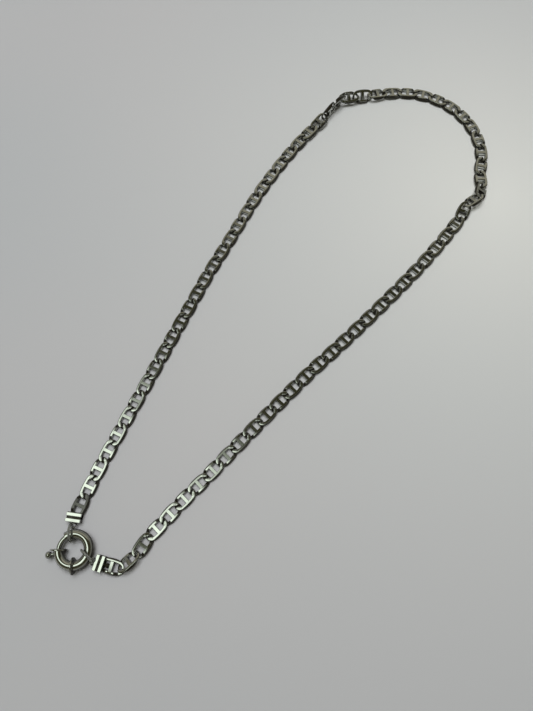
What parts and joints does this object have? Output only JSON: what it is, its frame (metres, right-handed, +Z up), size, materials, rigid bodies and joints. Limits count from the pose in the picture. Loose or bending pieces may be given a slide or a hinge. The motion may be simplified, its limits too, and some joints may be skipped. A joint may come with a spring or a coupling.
{
  "type": "mariner link chain necklace",
  "caption": "Closed necklace of flat mariner links with ribbed end caps and a spring ring clasp, lying flat; the clasp's bolt slides round inside its tube.",
  "frame": {"origin": "on the surface that the necklace lies on, below the middle of its bounding box", "axes": "+Z up from the surface, +Y from the clasp along the loop to its far end, +X to the strand that ends at the clasp's right side"},
  "size_m": [0.0684, 0.2074, 0.0054],
  "materials": {
    "silver": "polished silver with a light dark patina in the gaps"
  },
  "bodies": {
    "necklace": {"chain_left": "silver", "chain_right": "silver", "end_cap_left": "silver", "end_cap_right": "silver", "bail_left": "silver", "bail_right": "silver", "clasp_ring": "silver"},
    "bolt": {"clasp_bolt": "silver"}
  },
  "joints": [
    {"name": "bolt_turn", "type": "hinge", "parent": "necklace", "child": "bolt", "pos_m": [0.0013, -0.09727, 0.0024], "axis": [0, 0, 1], "range_deg": [0, 60], "stiffness_Nm_per_rad": 0.0002}
  ]
}
